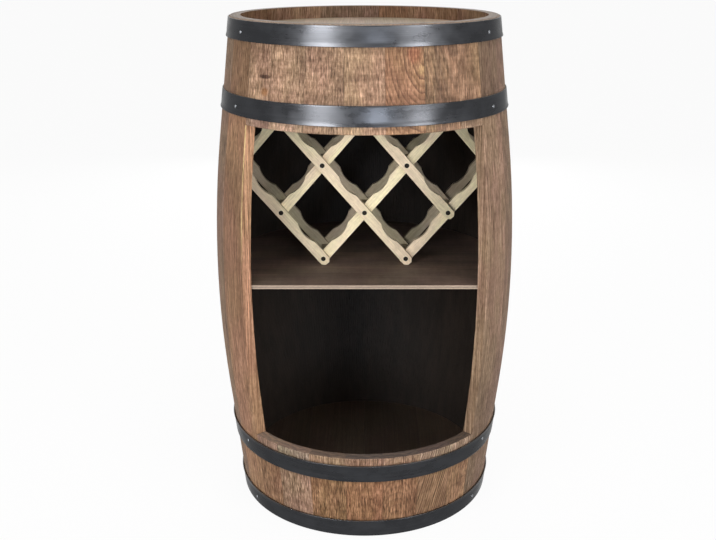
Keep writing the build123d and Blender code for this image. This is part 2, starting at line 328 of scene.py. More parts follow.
def make_wood_group():
    """Wood whose grain runs along the third axis of its vector, with growth rings round a pith."""
    tree = bpy.data.node_groups.new("wood_grain", "ShaderNodeTree")
    sockets = [("Vector", "NodeSocketVector"), ("Light", "NodeSocketColor"), ("Dark", "NodeSocketColor")]
    sockets += [(name, "NodeSocketFloat") for name in WOOD_NUMBERS]
    for name, kind in sockets:
        tree.interface.new_socket(name=name, in_out="INPUT", socket_type=kind)
    tree.interface.new_socket(name="Color", in_out="OUTPUT", socket_type="NodeSocketColor")
    tree.interface.new_socket(name="Height", in_out="OUTPUT", socket_type="NodeSocketFloat")
    graph = Graph(tree)
    given = graph.node("NodeGroupInput").outputs
    across, depth, along = graph.split(given["Vector"])
    across = graph.math("ADD", across, graph.math("MULTIPLY", along, given["Tilt"]))
    place = graph.combine(across, depth, along)
    dashed = graph.combine(across, depth, graph.math("MULTIPLY", along, given["Dash"]))

    patches = graph.noise(place, *WOOD_NOISES["patches"])
    hues = graph.noise(graph.vector("ADD", place, HUE_PLACE), *WOOD_NOISES["hues"])
    ripple = graph.noise(place, *WOOD_NOISES["ripple"])
    flecks = graph.noise(place, *WOOD_NOISES["flecks"])
    bands = graph.noise(place, *WOOD_NOISES["bands"])
    streaks = graph.noise(dashed, *WOOD_NOISES["streaks"])
    fibres = graph.noise(dashed, *WOOD_NOISES["fibres"])
    pores = graph.span(graph.noise(place, *WOOD_NOISES["pores"]), *PORE_SPREAD)

    # Growth rings: a count that rises by one a ring, and the late wood in each
    sway = graph.math("SUBTRACT", graph.noise(place, *WOOD_NOISES["sway"]), 0.5)
    shift = graph.math("MULTIPLY", sway, given["Wander"])
    from_pith = graph.combine(
        graph.math("SUBTRACT", graph.math("ADD", across, shift), given["Pith across"]),
        graph.math("SUBTRACT", depth, given["Pith depth"]),
        graph.math("MULTIPLY", graph.math("SUBTRACT", along, given["Eye height"]), given["Eye rise"]),
    )
    rings = graph.math("DIVIDE", graph.vector("LENGTH", from_pith), given["Ring spacing"])
    rings = graph.math("MULTIPLY_ADD", bands, BAND_BEND, rings)
    roughening = graph.math("MULTIPLY", graph.math("MULTIPLY", flecks, FLECK_BEND), given["Fleck"])
    rings = graph.math("ADD", rings, roughening)
    late = graph.curve(graph.math("FRACT", rings), LATE_WOOD)
    ring_number = graph.math("MULTIPLY", graph.math("FLOOR", rings), RING_STEP)
    ring_place = graph.combine(ring_number, 0.0, graph.math("MULTIPLY", along, RING_DRIFT))
    ring_strength = graph.noise(ring_place, *WOOD_NOISES["ring strength"])
    line = graph.math("MULTIPLY", late, graph.span(ring_strength, *RING_SPREAD))
    line = graph.math("MULTIPLY", line, given["Contrast"])

    # Broad tones, then the rings over them
    tone = 0.0
    for layer, share in ((patches, 0.62), (ripple, 0.20), (bands, 0.18)):
        tone = graph.math("MULTIPLY_ADD", layer, share, tone)
    swing = graph.math("MULTIPLY", graph.math("SUBTRACT", tone, 0.5), given["Mottle"])
    mottle = graph.span(swing, -TONE_SWING, TONE_SWING, smooth=False)
    colour = graph.mix(mottle, given["Dark"], given["Light"])
    colour = graph.multiply(colour, graph.mix(graph.span(hues, *HUE_SPREAD), *HUE_TINTS))
    colour = graph.mix(line, colour, graph.scale(given["Dark"], LATE_SHADE))

    # Fine layers: each multiplies one brightness
    pored = graph.math("MULTIPLY", graph.math("MULTIPLY", pores, given["Fine"]), PORE_SHADE)
    level = graph.math("ADD", pored, 1.0)
    for layer, strength, gain in (
        (streaks, 1.5, "Fine"),
        (fibres, 1.6, "Fine"),
        (flecks, 0.9, "Fleck"),
        (ripple, 0.5, "Ripple"),
    ):
        swing = graph.math("MULTIPLY", graph.math("SUBTRACT", layer, 0.5), strength)
        swing = graph.math("MULTIPLY", swing, given[gain])
        factor = graph.math("MAXIMUM", graph.math("ADD", swing, 1.0), LEVEL_FLOOR)
        level = graph.math("MULTIPLY", level, factor)
    levels = graph.combine(level, *(graph.math("POWER", level, power) for power in LEVEL_POWERS))
    colour = graph.vector("MULTIPLY", colour, levels)
    height = graph.math("MULTIPLY_ADD", late, LATE_HEIGHT, fibres)
    height = graph.math("MULTIPLY_ADD", pores, PORE_HEIGHT, height)
    result = graph.node("NodeGroupOutput")
    graph.feed(result.inputs["Color"], colour)
    graph.feed(result.inputs["Height"], height)
    return tree


wood_grain = make_wood_group()

GRAIN = {
    "spacing": 0.004,
    "pith": (0.0, 0.0),
    "eye": (0.0, 0.0),
    "tilt": 0.0,
    "wander": 0.02,
    "contrast": 0.3,
    "mottle": 0.8,
    "fine": 0.5,
    "fleck": 0.5,
    "ripple": 0.2,
    "dash": 1.0,
}


def add_wood(graph, place, light, dark, **changes):
    """Puts the wood group in a graph and returns its colour and height.

    The pith lies at an (across, depth) place. An eye of (height, rise) closes the rings round
    that height, stretched along the grain by 1 / rise; a rise of 0 leaves them open. Contrast is
    the strength of the rings, wander how far they sway and tilt how far the grain leans. Mottle,
    fine, fleck and ripple set how strong the patches, the long lines, the short flecks and the
    marks across the grain are, and dash how short the lines are.
    """
    grain = GRAIN | changes
    group = graph.node("ShaderNodeGroup", node_tree=wood_grain)
    given = {
        "Vector": place,
        "Light": (*light, 1.0),
        "Dark": (*dark, 1.0),
        "Ring spacing": grain["spacing"],
        "Pith across": grain["pith"][0],
        "Pith depth": grain["pith"][1],
        "Eye height": grain["eye"][0],
        "Eye rise": grain["eye"][1],
    }
    for name in ("tilt", "wander", "contrast", "mottle", "fine", "fleck", "ripple", "dash"):
        given[name.capitalize()] = grain[name]
    for name, value in given.items():
        graph.feed(group.inputs[name], value)
    return group.outputs["Color"], group.outputs["Height"]


def finish_wood(graph, shader, colour, bumps, relief, specular):
    """Feeds a wood's colour and bumps to its shader."""
    graph.feed(shader.inputs["Base Color"], colour)
    shader.inputs["Specular IOR Level"].default_value = specular
    add_bump(graph, shader, bumps, relief)


def corners(node):
    """The points of a CAD node, in the row's frame."""
    return [vertex.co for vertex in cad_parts[node].data.vertices]


def stave_span(node):
    """Bearing of a stave's middle, and half its angle, in radians."""
    points = corners(node)
    rough = atan2(sum(p.x for p in points), -sum(p.y for p in points))
    turns = []
    for p in points:
        sideways = p.x * cos(rough) + p.y * sin(rough)
        outward = p.x * sin(rough) - p.y * cos(rough)
        turns.append(atan2(sideways, outward))
    return rough + (min(turns) + max(turns)) / 2, (max(turns) - min(turns)) / 2


# Heights and faces that the stave materials tell apart
HEIGHT = cad_box[1].z
HEAD_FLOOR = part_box("bottom_head_board_1")[1].z
HEAD_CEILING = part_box("top_head_board_1")[0].z
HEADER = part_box("upper_stave_4")[0].z
LOWER_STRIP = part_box("hoop_lower")[1].z
UPPER_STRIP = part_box("hoop_upper")[0].z
RIM_SLICE = 0.001  # the points of the top face lie within this of the top
RIM_RADIUS = max(hypot(p.x, p.y) for p in corners("stave_01") if p.z > HEIGHT - RIM_SLICE)
RIM_START = (0.01, 0.02)  # how far over the header the weathered ends begin
STRIP_BLUR = 0.001
HEAD_BLUR = 0.002
SEED_STEP = 1.7  # places the staves apart in the noises
# Painted shade beside the hoops: how far it reaches and how dark it gets
HOOP_SHADE_REACH = 0.004
HOOP_SHADE_LEVEL = 0.80
SEAM_LEVEL = 0.72
SEAM_REACH = (0.0001, 0.0011)
INSIDE_SHADE = -0.18
OUTSIDE_FACING = (0.5, 0.8)
INSIDE_FACING = (-0.5, -0.8)
END_FACING = (0.6, 0.9)
SAWN_FACING = (0.85, 0.95)
SAWN_HEIGHTS = (0.20, 0.45)
# Where the painted highlight on the jambs' eased edges lies, by facing and by height
ARRIS_HIGHLIGHT_FACING = ((0.40, 0.0), (0.55, 1.0), (0.80, 1.0), (0.90, 0.0))
ARRIS_HIGHLIGHT_HEIGHTS = (0.35, 0.60)
SPOT_NOISE = ((300, 300, 300), 2)
SPOT_RAGGED = 0.8
SPOT_EDGE = (0.8, 1.7)
END_NOISE = ((90, 480, 90), 3, 0.6)
END_SWING = (0.75, 1.25)
# The rims get darker towards their outer edge
RIM_OUTER_LEVEL = 0.88
RIM_OUTER_REACH = (0.012, 0.002)  # from the rim's outer edge
CHAR_NOISE = ((60, 60, 14), 4, 0.6)


def painted_hoop_shade(graph, height):
    """Painted shade on the wood beside each hoop, as a factor."""
    stops = []
    for hoop in HOOPS:
        low, high = (corner.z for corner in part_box(hoop))
        stops += [(low - HOOP_SHADE_REACH, 1.0), (low, HOOP_SHADE_LEVEL)]
        stops += [(high, HOOP_SHADE_LEVEL), (high + HOOP_SHADE_REACH, 1.0)]
    stops = [(min(max(place / HEIGHT, 0.0), 1.0), level) for place, level in stops]
    return graph.curve(graph.math("DIVIDE", height, HEIGHT), stops)


def stave_grain(graph, number, look, lateral, outward, height):
    """Colour and bumps of a stave's wood, at a place in the noises that is its own."""
    tones = [tuple(c * t for c, t in zip(tone, look["tint"])) for tone in STAVE_COLOURS[look["colour"]]]
    seed = SEED_STEP * number
    place = graph.combine(*(graph.math("ADD", part, seed) for part in (lateral, outward, height)))
    grain = {name: value for name, value in look.items() if name in GRAIN}
    grain["pith"] = tuple(part + seed for part in look["pith"])
    grain["eye"] = (look["eye"][0] + seed, look["eye"][1])
    return add_wood(graph, place, *tones, **grain)


def add_spots(graph, colour, spots, place, lateral, height):
    """Tints ragged spots, each a place across, a height, half a width, half a height and a tint."""
    for spot_across, spot_height, spot_width, spot_rise, spot_tint in spots:
        offset = graph.combine(
            graph.math("DIVIDE", graph.math("SUBTRACT", lateral, spot_across), spot_width),
            graph.math("DIVIDE", graph.math("SUBTRACT", height, spot_height), spot_rise),
            0.0,
        )
        rough = graph.noise(place, *SPOT_NOISE)
        ragged = graph.math("MULTIPLY_ADD", rough, SPOT_RAGGED, graph.vector("LENGTH", offset))
        share = graph.span(ragged, *SPOT_EDGE, 1.0, 0.0)
        colour = graph.mix(share, colour, graph.multiply(colour, spot_tint))
    return colour


def end_grain(graph, cut_tint, lateral, outward, height):
    """Dark sawn ends round the opening, tinted per stave partly with painted light, and weathered ends on
    the barrel's rims, made paler with painted sheen.
    """
    on_rim = graph.span(height, *(HEADER + rise for rise in RIM_START))
    specks = graph.noise(graph.combine(lateral, outward, height), *END_NOISE)
    sawn = graph.multiply(graph.mix(graph.span(specks, *SPREAD), *CUT_COLOURS), cut_tint)
    # The rims' colour is weathered end grain with painted sheen
    weathered = graph.scale(RIM_COLOUR, graph.span(specks, *SPREAD, *END_SWING))
    inner, outer = (RIM_RADIUS - reach for reach in RIM_OUTER_REACH)
    outer_darkening = graph.span(outward, inner, outer, 1.0, RIM_OUTER_LEVEL)
    outer_darkening = graph.math("MAXIMUM", outer_darkening, graph.math("SUBTRACT", 1.0, on_rim))
    return graph.scale(graph.mix(on_rim, sawn, weathered), outer_darkening)


def charred(graph, colour, place, inward, height):
    """Blackens the inner faces between the two heads."""
    over_floor = graph.span(height, HEAD_FLOOR - HEAD_BLUR, HEAD_FLOOR, smooth=False)
    above = graph.span(height, HEAD_CEILING, HEAD_CEILING + HEAD_BLUR, smooth=False)
    inside = graph.math("MULTIPLY", inward, over_floor)
    inside = graph.math("MULTIPLY", inside, graph.math("SUBTRACT", 1.0, above))
    char = graph.mix(graph.noise(place, *CHAR_NOISE), *CHAR_COLOURS)
    return graph.mix(inside, colour, char)


def stave_material(node, number, look):
    """Weathered oak for one stave, with its own figure, dark seams and a charred inside."""
    material, graph, shader = new_material(f"oak_{node}", roughness=0.62)
    middle, half = stave_span(node)
    lateral_axis = (cos(middle), sin(middle), 0)
    outward_axis = (sin(middle), -cos(middle), 0)
    place = graph.object_place()
    lateral = graph.vector("DOT_PRODUCT", place, lateral_axis)
    outward = graph.vector("DOT_PRODUCT", place, outward_axis)
    height = graph.split(place)[2]
    facing = graph.true_normal()
    away = graph.vector("DOT_PRODUCT", facing, outward_axis)
    sideways = graph.math("ABSOLUTE", graph.vector("DOT_PRODUCT", facing, lateral_axis))
    up = graph.math("ABSOLUTE", graph.split(facing)[2])

    colour, bumps = stave_grain(graph, number, look, lateral, outward, height)
    colour = add_spots(graph, colour, look["spots"], place, lateral, height)

    # The stretch between the two middle hoops, tinted partly with painted light, and painted light and
    # shade up the height
    over_hoop = graph.span(height, LOWER_STRIP - STRIP_BLUR, LOWER_STRIP + STRIP_BLUR)
    under_hoop = graph.span(height, UPPER_STRIP - STRIP_BLUR, UPPER_STRIP + STRIP_BLUR, 1.0, 0.0)
    between = graph.math("MULTIPLY", over_hoop, under_hoop)
    colour = graph.mix(between, colour, graph.multiply(colour, look["strip"]))
    colour = graph.scale(colour, graph.curve(graph.math("DIVIDE", height, HEIGHT), look["shade"]))

    # Sawn jamb faces: a lighter sawn tone with painted light, rising up the left jamb and falling up the
    # right one, and a painted highlight on their eased edges
    sawn = graph.span(height, *SAWN_HEIGHTS, *look["sawn"])
    colour = graph.mix(graph.span(sideways, *SAWN_FACING), colour, graph.scale(colour, sawn))
    # Painted highlight along the jambs' eased edges, much stronger on the left jamb
    arris = graph.curve(sideways, ARRIS_HIGHLIGHT_FACING)
    arris = graph.math("MULTIPLY", arris, graph.span(height, *ARRIS_HIGHLIGHT_HEIGHTS))
    colour = graph.mix(arris, colour, graph.multiply(colour, look["arris"]))

    # Seams, and painted shade beside the hoops, on the outside
    to_seam = graph.math(
        "SUBTRACT",
        graph.math("MULTIPLY", outward, sin(half)),
        graph.math("MULTIPLY", graph.math("ABSOLUTE", lateral), cos(half)),
    )
    seam = graph.span(to_seam, *SEAM_REACH, SEAM_LEVEL, 1.0)
    seam = graph.math("MULTIPLY", seam, painted_hoop_shade(graph, height))
    outside = graph.span(away, *OUTSIDE_FACING)
    seam = graph.math("MULTIPLY_ADD", graph.math("SUBTRACT", seam, 1.0), outside, 1.0)
    colour = graph.scale(colour, seam)

    # Ends and inner faces
    ends = end_grain(graph, look["cut"], lateral, outward, height)
    colour = graph.mix(graph.span(up, *END_FACING), colour, ends)
    inward = graph.span(away, *INSIDE_FACING)
    colour = graph.scale(colour, graph.math("MULTIPLY_ADD", inward, INSIDE_SHADE, 1.0))
    colour = charred(graph, colour, place, inward, height)
    finish_wood(graph, shader, colour, bumps, relief=0.0004, specular=0.1)
    return material


# A stave's look: tint multiplies its colour; sawn lightens its jamb's face, a sawn tone with painted
# light, and arris paints a highlight on its eased edge. Strip tints the stretch between the two
# middle hoops, partly with painted light, cut tints its sawn end, partly with painted light, and
# shade paints light and shade up its height. The rest are spots and grain.
PLAIN_LOOK = {
    "colour": "brown",
    "tint": (1.0, 1.0, 1.0),
    "sawn": (1.0, 1.0),
    "arris": (1.0, 1.0, 1.0),
    "strip": (1.0, 1.0, 1.0),
    "cut": (1.0, 1.0, 1.0),
    "shade": ((0.0, 1.0), (1.0, 1.0)),
    "spots": (),
    "spacing": 0.0030,
    "pith": (0.20, 0.12),
    "eye": (0.0, 0.0),
    "tilt": 0.0,
    "wander": 0.008,
    "contrast": 0.40,
    "mottle": 0.35,
    "fine": 1.3,
    "fleck": 0.7,
    "ripple": 0.3,
    "dash": 1.0,
}
WHOLE_STAVES = 17
WHOLE_COLOURS = ("side", "brown", "grey", "warm", "side", "tan", "grey")


def whole_looks():
    """Looks of the whole staves: the first and the last stand at the opening's jambs."""
    looks = {}
    for number in range(1, WHOLE_STAVES + 1):
        looks[f"stave_{number:02d}"] = dict(
            PLAIN_LOOK,
            colour=WHOLE_COLOURS[number * 3 % len(WHOLE_COLOURS)],
            pith=(0.05 * (number * 5 % 7 - 3), 0.13 + 0.012 * (number % 4)),
            spacing=0.0034 + 0.0005 * (number % 4),
            tilt=0.006 * (number % 5 - 2),
        )
    side = dict(
        PLAIN_LOOK, colour="side", spacing=0.0026, contrast=0.18, mottle=0.15, fine=1.25, fleck=1.0
    )
    # On the two jamb staves, shade paints light and shade up the height, and sawn and arris paint light
    # on the jamb faces and their eased edges
    looks["stave_01"] = dict(
        side,
        mottle=0.3,
        pith=(0.30, 0.12),
        tint=(0.97, 1.11, 1.24),
        sawn=(1.38, 1.1),
        arris=(1.1, 1.1, 1.1),
        shade=(
            (0.25, 0.84),
            (0.45, 1.10),
            (0.62, 1.25),
            (0.70, 1.20),
            (0.77, 1.18),
            (0.82, 1.32),
            (0.86, 0.80),
        ),
    )
    looks["stave_17"] = dict(
        side,
        pith=(-0.30, 0.12),
        tint=(1.08, 1.08, 1.07),
        sawn=(1.13, 1.95),
        arris=(1.75, 2.15, 1.75),
        shade=((0.30, 1.20), (0.55, 0.98), (0.72, 0.90), (0.78, 1.22), (0.825, 1.25), (0.86, 0.80)),
    )
    return looks


def upper_looks():
    """Looks of the short staves over the opening, from left to right."""
    # Strip on the short staves over the opening is partly painted light that lifts the header under the
    # upper hoop
    short = dict(
        PLAIN_LOOK, mottle=0.65, fine=1.1, fleck=2.4, ripple=2.2, dash=5.0, strip=(1.34, 1.42, 1.46)
    )
    calm = dict(short, colour="grey", mottle=0.6, fine=1.1, fleck=1.6, ripple=1.6, dash=3.0)
    return (
        dict(
            short,
            colour="tan",
            tint=(1.10, 1.08, 1.14),
            strip=(0.80, 0.83, 0.91),
            spots=(
                (0.0125, 0.7236, 0.0125, 0.0034, (0.22, 0.18, 0.17)),
                (0.0130, 0.7020, 0.0070, 0.0060, (1.25, 1.02, 0.75)),
            ),
        ),
        dict(short, colour="tan", tint=(1.10, 1.11, 1.14), strip=(1.15, 1.22, 1.30), pith=(-0.16, 0.14)),
        dict(short, colour="brown", tint=(1.07, 1.06, 1.09), spacing=0.0034),
        dict(
            short,
            colour="brown",
            tint=(1.45, 1.50, 1.50),
            spacing=0.0040,
            pith=(0.08, 0.16),
            wander=0.02,
            mottle=0.45,
            fine=0.9,
            fleck=2.0,
        ),
        dict(
            short,
            colour="red",
            tint=(1.18, 1.26, 1.24),
            spacing=0.0050,
            pith=(0.030, 0.218),
            eye=(0.764, 0.55),
            wander=0.02,
            contrast=0.95,
            mottle=0.4,
            fine=0.9,
            fleck=1.6,
            spots=(
                (0.0248, 0.7376, 0.0055, 0.0075, (1.25, 1.40, 1.30)),
                (0.0135, 0.7595, 0.0110, 0.0140, (0.92, 0.72, 0.70)),
            ),
        ),
        dict(
            calm,
            tint=(1.24, 1.18, 1.05),
            strip=(1.50, 1.58, 1.62),
            spacing=0.0046,
            pith=(0.02, 0.18),
            wander=0.03,
            contrast=0.6,
            spots=((-0.0205, 0.7350, 0.0060, 0.0400, (1.45, 1.42, 1.42)),),
        ),
        dict(calm, tint=(1.47, 1.43, 1.28), strip=(1.10, 1.25, 1.35), spacing=0.0034),
    )


def lower_looks():
    """Looks of the short staves under the opening, from left to right."""
    # Strip on the short staves under the opening is partly painted light that lifts the sill over the
    # lower hoop
    low = dict(
        PLAIN_LOOK,
        colour="warm",
        strip=(1.20, 1.40, 1.75),
        mottle=0.4,
        fine=1.6,
        fleck=1.4,
        ripple=1.0,
        dash=2.0,
    )
    # cut brightens the sawn ends of the sill with painted light, most at its left end
    return (
        dict(low, tint=(1.13, 1.17, 1.28), cut=(3.1, 2.85, 2.5)),
        dict(
            low,
            tint=(1.48, 1.78, 2.25),
            strip=(1.02, 1.22, 1.32),
            cut=(2.9, 2.55, 2.3),
            spacing=0.0044,
            pith=(-0.03, 0.2),
            eye=(0.03, 0.35),
        ),
        dict(low, tint=(1.15, 1.21, 1.17), cut=(1.9, 1.75, 1.6), spacing=0.0032),
        dict(low, tint=(1.16, 1.11, 1.11), strip=(1.08, 1.25, 1.60), cut=(1.5, 1.5, 1.5), spacing=0.0028),
        dict(
            low,
            tint=(1.14, 1.17, 1.17),
            cut=(1.5, 1.45, 1.45),
            spacing=0.0034,
            pith=(-0.006, 0.198),
            eye=(0.0, 0.30),
            wander=0.01,
            contrast=0.45,
            fleck=0.8,
            ripple=0.5,
        ),
        dict(
            low,
            colour="rust",
            tint=(1.25, 1.58, 1.80),
            cut=(1.45, 1.3, 1.3),
            spacing=0.0042,
            tilt=-0.21,
            wander=0.004,
            contrast=1.2,
            mottle=0.3,
            fine=1.1,
            fleck=0.5,
            ripple=0.3,
            dash=1.0,
        ),
        dict(low, tint=(1.50, 1.62, 1.75), strip=(1.00, 1.22, 1.48), cut=(1.3, 1.2, 1.1)),
    )


def stave_looks():
    """What sets each stave apart, by its node's name."""
    looks = whole_looks()
    for number, (upper, lower) in enumerate(zip(upper_looks(), lower_looks()), 1):
        looks[f"upper_stave_{number}"] = upper
        looks[f"lower_stave_{number}"] = lower
    return looks


HEAD_BOARDS = 4
BOARD_JUMP = 3.3  # places the boards apart in the noises
BOARD_SHADES = (0.85, 1.1)
SHADE_STEP = 0.618  # from one board's shade to the next
STAIN_FADE = (0.012, 0.002)  # where the stain fades, behind the heads' inner faces


def head_material():
    """Waxed oak for the head boards, paler and greyer with painted sheen: the grain runs front to back
    and changes at each joint.
    """
    material, graph, shader = new_material("oak_heads", roughness=0.5)
    x, y, z = graph.split(graph.object_place())
    boards = [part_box(f"top_head_board_{number}") for number in range(1, HEAD_BOARDS + 1)]
    edges = sorted({round(corner.x, 5) for box in boards for corner in box})
    width = edges[-1] - edges[0]
    from_edge = graph.math("SUBTRACT", x, edges[0])
    board = graph.math("FLOOR", graph.math("MULTIPLY", from_edge, HEAD_BOARDS / width))
    jump = graph.math("MULTIPLY", board, BOARD_JUMP)
    place = graph.combine(graph.math("ADD", x, jump), graph.math("ADD", z, jump), y)
    colour, bumps = add_wood(graph, place, *HEAD_COLOURS, spacing=0.0045, pith=(1.5, 0.9), mottle=0.5)
    shade = graph.math("FRACT", graph.math("MULTIPLY", board, SHADE_STEP))
    colour = graph.scale(colour, graph.span(shade, 0, 1, *BOARD_SHADES))
    far, near = STAIN_FADE
    over_floor = graph.span(z, HEAD_FLOOR - far, HEAD_FLOOR - near)
    under_ceiling = graph.span(z, HEAD_CEILING + near, HEAD_CEILING + far, 1.0, 0.0)
    inside = graph.math("MULTIPLY", over_floor, under_ceiling)
    colour = graph.mix(inside, colour, graph.multiply(colour, HEAD_STAIN))
    finish_wood(graph, shader, colour, bumps, relief=0.0003, specular=0.35)
    return material


SLATS = 4  # of each lean in the front lattice
SLAT_DRIFT = 0.04  # how far a slat's grain leans off its length
SLAT_FACING = (0.3, 0.8)
# Painted shade on the slats' sides, as a share of their front's level
SLAT_SIDE_PAINTED_SHADE = 0.72


def rack_material(name, lean, level):
    """Pale pine, with the grain along slats that lean at an angle in the XZ plane; level is painted light
    and shade over the whole, and the slats' sides get painted shade.
    """
    material, graph, shader = new_material(name, roughness=0.6)
    place = graph.object_place()
    along = graph.vector("DOT_PRODUCT", place, (cos(lean), 0, sin(lean)))
    across = graph.vector("DOT_PRODUCT", place, (-sin(lean), 0, cos(lean)))
    depth = graph.split(place)[1]
    drifted = graph.math("ADD", along, graph.math("MULTIPLY", across, SLAT_DRIFT))
    grain_place = graph.combine(across, depth, drifted)
    colour, bumps = add_wood(
        graph, grain_place, *RACK_COLOURS, pith=(0.9, 0.3), contrast=0.12, fine=0.25, fleck=0.5
    )
    front = graph.math("ABSOLUTE", graph.split(graph.true_normal())[1])
    colour = graph.scale(colour, graph.span(front, *SLAT_FACING, SLAT_SIDE_PAINTED_SHADE * level, level))
    finish_wood(graph, shader, colour, bumps, relief=0.0002, specular=0.25)
    return material


PLIES = ((0.0, 0.85), (0.30, 1.0), (0.36, 0.55), (0.64, 0.55), (0.70, 1.0), (1.0, 0.8))
PLY_NOISE = ((260, 260, 900), 3, 0.6)
PLY_LEVELS = (0.8, 1.15)
PLY_FACING = (0.8, 0.4)


def shelf_material():
    """Stained plywood: dark brown faces and a pale sawn edge of three plies."""
    material, graph, shader = new_material("stained_plywood", roughness=0.55)
    place = graph.object_place()
    x, y, z = graph.split(place)
    colour, bumps = add_wood(
        graph, graph.combine(y, z, x), *SHELF_COLOURS, spacing=0.009, pith=(0.3, 0.2), fine=0.6
    )
    low, high = (corner.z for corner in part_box("shelf"))
    plies = graph.curve(graph.span(z, low, high, smooth=False), PLIES)
    speckle = graph.span(graph.noise(place, *PLY_NOISE), *SPREAD, *PLY_LEVELS)
    edge = graph.multiply(graph.scale(plies, speckle), PLY_COLOUR)
    up = graph.math("ABSOLUTE", graph.split(graph.true_normal())[2])
    colour = graph.mix(graph.span(up, *PLY_FACING), colour, edge)
    finish_wood(graph, shader, colour, bumps, relief=0.0002, specular=0.3)
    return material


def cleat_material():
    material, graph, shader = new_material("sawn_cleat", roughness=0.7)
    x, y, z = graph.split(graph.object_place())
    colour, bumps = add_wood(graph, graph.combine(z, y, x), *CLEAT_COLOURS)
    finish_wood(graph, shader, colour, bumps, relief=0.0003, specular=0.5)
    return material


ROLLING_RADIUS = 0.22  # turns a bearing into a length round the barrel
ROLLING_NOISE = ((6, 1, 1400), 3, 0.6)
ROLLING_LEVELS = (0.88, 1.12)
ROLLING_GLOSS = 0.06
ROLLING_RELIEF = 0.00005
DULL_NOISE = ((22, 22, 40), 4, 0.6)
DULL_LEVEL = 1.25
DULL_GLOSS = (-0.05, 0.08)  # added to the roughness
SCUFF_NOISE = ((130, 130, 420), 3, 0.7)
SCUFF_SPREAD = (0.66, 0.78, 0.0, 0.25)
EDGE_HIGHLIGHT_FACING = (0.75, 0.92)
HOOP_GLANCE = (0.6, 0.6, 0.6, 1.0)  # keeps the hoops dark at a glancing angle


def steel_material(name, colour, roughness):
    """Hoop steel with rolling lines round the barrel, dull patches, scuffs and a painted highlight on the
    upper edges.
    """
    material, graph, shader = new_material(name, roughness)
    place = graph.object_place()
    x, y, z = graph.split(place)
    bearing = graph.math("ARCTAN2", x, graph.math("MULTIPLY", y, -1.0))
    strip = graph.combine(graph.math("MULTIPLY", bearing, ROLLING_RADIUS), 0.0, z)
    lines = graph.noise(strip, *ROLLING_NOISE)
    patches = graph.noise(place, *DULL_NOISE)
    tint = graph.mix(graph.span(patches, *SPREAD), colour, tuple(DULL_LEVEL * c for c in colour))
    tint = graph.scale(tint, graph.span(lines, *SPREAD, *ROLLING_LEVELS))
    scuffs = graph.span(graph.noise(place, *SCUFF_NOISE), *SCUFF_SPREAD)
    tint = graph.mix(scuffs, tint, SCUFF_STEEL)
    # Painted highlight: faces that point up get a paler steel
    up = graph.split(graph.true_normal())[2]
    tint = graph.mix(graph.span(up, *EDGE_HIGHLIGHT_FACING), tint, EDGE_HIGHLIGHT_STEEL)
    graph.feed(shader.inputs["Base Color"], tint)
    gloss = graph.span(patches, *SPREAD, *(roughness + part for part in DULL_GLOSS))
    graph.feed(shader.inputs["Roughness"], graph.math("MULTIPLY_ADD", lines, ROLLING_GLOSS, gloss))
    shader.inputs["Metallic"].default_value = 1.0
    shader.inputs["Specular Tint"].default_value = HOOP_GLANCE
    add_bump(graph, shader, lines, ROLLING_RELIEF)
    return material


FASTENER_NOISE = ((500, 500, 500), 3, 0.6)
FASTENER_LEVELS = (0.75, 1.15)
FASTENER_GLOSS = (-0.08, 0.1)  # added to the roughness


def fastener_material(name, colour, roughness, metallic):
    material, graph, shader = new_material(name, roughness)
    patches = graph.noise(graph.object_place(), *FASTENER_NOISE)
    tint = graph.scale(colour, graph.span(patches, *SPREAD, *FASTENER_LEVELS))
    graph.feed(shader.inputs["Base Color"], tint)
    gloss = graph.span(patches, *SPREAD, *(roughness + part for part in FASTENER_GLOSS))
    graph.feed(shader.inputs["Roughness"], gloss)
    shader.inputs["Metallic"].default_value = metallic
    shader.inputs["Specular IOR Level"].default_value = 0.5 if metallic else 0.05
    return material


def dress(node, material):
    """Gives a CAD node its material."""
    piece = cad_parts[node]
    piece.data.materials.clear()
    piece.data.materials.append(material)


def add_piece(name, builder, material):
    """Makes a piece of the object from a bmesh, shaded smooth."""
    mesh = bpy.data.meshes.new(name)
    builder.normal_update()
    builder.to_mesh(mesh)
    builder.free()
    for polygon in mesh.polygons:
        polygon.use_smooth = True
    mesh.materials.append(material)
    piece = bpy.data.objects.new(name, mesh)
    bpy.context.scene.collection.objects.link(piece)
    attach(piece, "root")
    return piece


def add_head(builder, radius, height, place, axis):
    """Adds a fastener's domed head, with its foot sunk a little into what it holds."""
    arcs = [pi / 2 * step / DOME_STEPS for step in range(DOME_STEPS)]
    profile = [(radius, -HEAD_SEAT), *((radius * cos(arc), height * sin(arc)) for arc in arcs)]
    turn = Vector((0, 0, 1)).rotation_difference(Vector(axis)).to_matrix().to_4x4()
    matrix = Matrix.Translation(place) @ turn
    turns = [2 * pi * k / HEAD_STEPS for k in range(HEAD_STEPS)]
    rows = []
    for reach, rise in profile:
        ring = [matrix @ Vector((reach * cos(t), reach * sin(t), rise)) for t in turns]
        rows.append([builder.verts.new(point) for point in ring])
    top = builder.verts.new(matrix @ Vector((0, 0, height)))
    for low, high in zip(rows, rows[1:]):
        for k in range(HEAD_STEPS):
            after = (k + 1) % HEAD_STEPS
            builder.faces.new((low[k], low[after], high[after], high[k]))
    for k in range(HEAD_STEPS):
        builder.faces.new((rows[-1][k], rows[-1][(k + 1) % HEAD_STEPS], top))
    builder.faces.new(list(reversed(rows[0])))


def band_radii(hoop):
    """Heights of a hoop's lower and upper edge, and its inner radius at each."""
    low, high = (corner.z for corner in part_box(hoop))
    points = corners(hoop)
    foot = min(hypot(p.x, p.y) for p in points if p.z < low + SAME_PLACE)
    head = min(hypot(p.x, p.y) for p in points if p.z > high - SAME_PLACE)
    return low, high, foot, head


